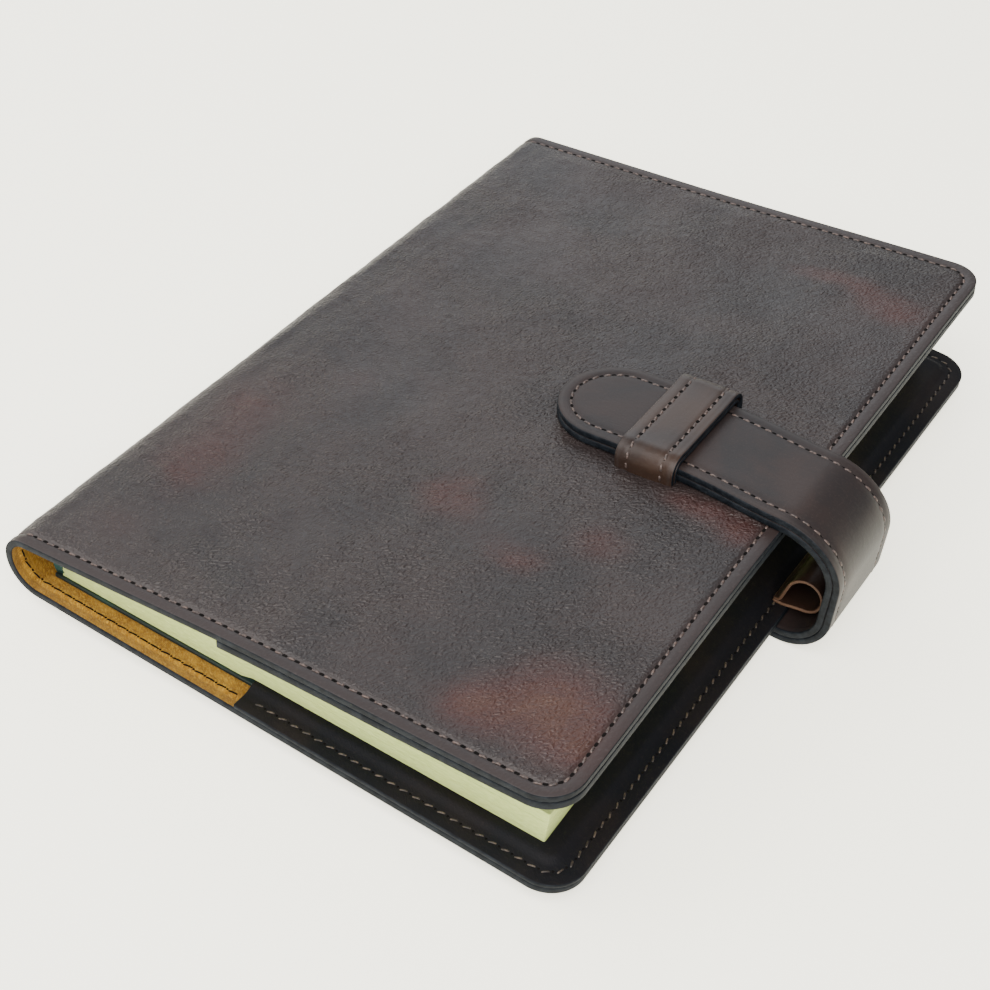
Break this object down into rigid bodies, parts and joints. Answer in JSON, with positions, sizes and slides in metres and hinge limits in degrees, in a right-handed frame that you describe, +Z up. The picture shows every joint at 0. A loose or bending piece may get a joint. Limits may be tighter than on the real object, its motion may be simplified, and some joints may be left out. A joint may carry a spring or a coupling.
{
  "type": "leather notebook cover",
  "caption": "Leather cover folded round a notebook, closed by a wrap-round strap that goes under a keeper; pen loop at the fore-edge.",
  "frame": {"origin": "on the underside of the strap, below the middle of the covers: the face that the closed cover rests on", "axes": "+X from the spine to the fore-edge, where the strap comes out; +Y along the spine from tail to head; +Z up from the back cover to the front cover"},
  "size_m": [0.1634, 0.226, 0.0397],
  "materials": {
    "cover_leather": "pebbled, oiled, worn lighter at the edges",
    "pocket_leather": "soft, dark, brushed suede on the open faces",
    "thread": "waxed sewing thread",
    "keeper_leather": "smooth, polished on the bend",
    "strap_leather": "smooth, satin, painted edge",
    "strap_lining": "smooth, painted edge",
    "strap_thread": "waxed sewing thread",
    "pen_loop_leather": "thin, smooth, light cut edge",
    "board_cloth": "green cover board",
    "paper": "uncoated paper, cut edge"
  },
  "bodies": {
    "back_cover": {"back_cover_leather": "cover_leather", "back_pocket": "pocket_leather", "back_seam_thread": "thread", "strap_anchor_outer": "strap_leather", "strap_anchor_lining": "strap_lining", "strap_anchor_thread": "strap_thread", "pen_loop": "pen_loop_leather", "notebook_back_board": "board_cloth", "notebook_spine": "board_cloth", "page_block": "paper"},
    "spine": {"spine_leather": "cover_leather", "spine_seam_thread": "thread"},
    "front_cover": {"front_cover_leather": "cover_leather", "front_pocket": "pocket_leather", "front_seam_thread": "thread", "keeper_outer": "keeper_leather", "keeper_lining": "strap_lining", "keeper_thread": "thread", "notebook_front_board": "board_cloth"},
    "front_leaves": {"front_leaves": "paper"},
    "strap_side": {"strap_side_outer": "strap_leather", "strap_side_lining": "strap_lining", "strap_side_thread": "strap_thread"},
    "strap_tongue": {"strap_tongue_outer": "strap_leather", "strap_tongue_lining": "strap_lining", "strap_tongue_thread": "strap_thread"}
  },
  "joints": [
    {"name": "spine_fold", "type": "hinge", "parent": "back_cover", "child": "spine", "pos_m": [-0.0726, 0, 0.0045], "axis": [0, -1, 0], "range_deg": [0, 90]},
    {"name": "front_fold", "type": "hinge", "parent": "spine", "child": "front_cover", "pos_m": [-0.0726, 0, 0.0174], "axis": [0, -1, 0], "range_deg": [0, 82]},
    {"name": "leaf_turn", "type": "hinge", "parent": "back_cover", "child": "front_leaves", "pos_m": [-0.0615, 0, 0.0168], "axis": [0, -1, 0], "range_deg": [0, 179]},
    {"name": "strap_swing", "type": "hinge", "parent": "back_cover", "child": "strap_side", "pos_m": [0.0877, 0, 0.0018], "axis": [0, 1, 0], "range_deg": [0, 88]},
    {"name": "strap_unroll", "type": "hinge", "parent": "strap_side", "child": "strap_tongue", "pos_m": [0.0877, 0, 0.03954], "axis": [0, 1, 0], "range_deg": [0, 96]}
  ],
  "couplings": [
    {"joint": "front_fold", "follows": "spine_fold", "ratio": 0.9},
    {"joint": "leaf_turn", "follows": "spine_fold", "ratio": 1.976},
    {"joint": "strap_unroll", "follows": "strap_swing", "ratio": 1.08}
  ]
}
